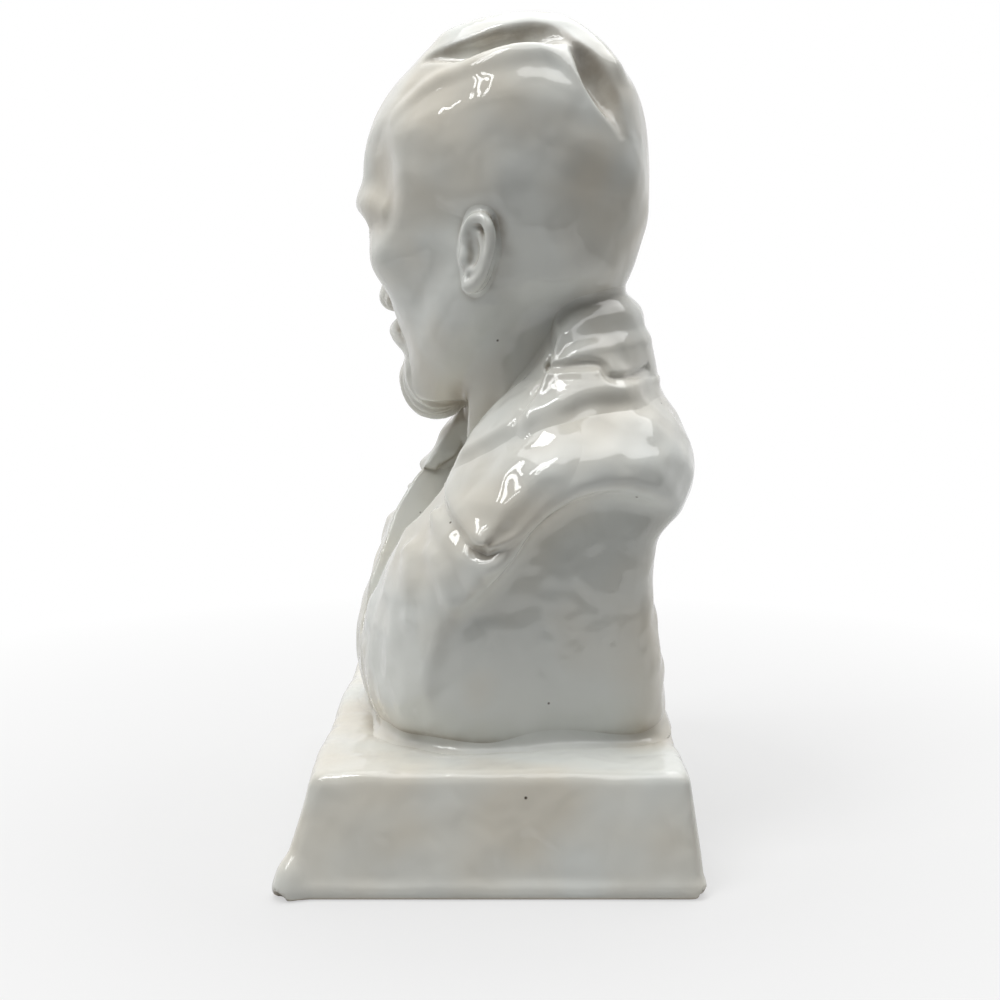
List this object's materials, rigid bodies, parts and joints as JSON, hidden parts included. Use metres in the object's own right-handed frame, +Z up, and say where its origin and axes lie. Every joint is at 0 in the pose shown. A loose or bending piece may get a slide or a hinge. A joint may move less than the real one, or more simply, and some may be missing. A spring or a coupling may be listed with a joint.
{
  "type": "porcelain bust",
  "caption": "White glazed porcelain bust of a bald bearded man in a lapelled jacket, head turned aside, on a flared rectangular plinth.",
  "frame": {"origin": "middle of the plinth's foot, on the surface that it stands on", "axes": "+Z up, -Y the way the bust faces, +X its left side"},
  "size_m": [0.1272, 0.0967, 0.1994],
  "materials": {
    "glaze": "gloss",
    "plinth_glaze": "gloss",
    "slip": "gloss"
  },
  "bodies": {
    "root": {"plinth": "plinth_glaze", "base_joint": "slip", "torso": "glaze", "collar": "glaze", "left_lapel": "glaze", "right_lapel": "glaze", "head": "glaze", "left_ear": "glaze", "right_ear": "glaze", "moustache": "glaze", "beard": "glaze"}
  },
  "joints": []
}
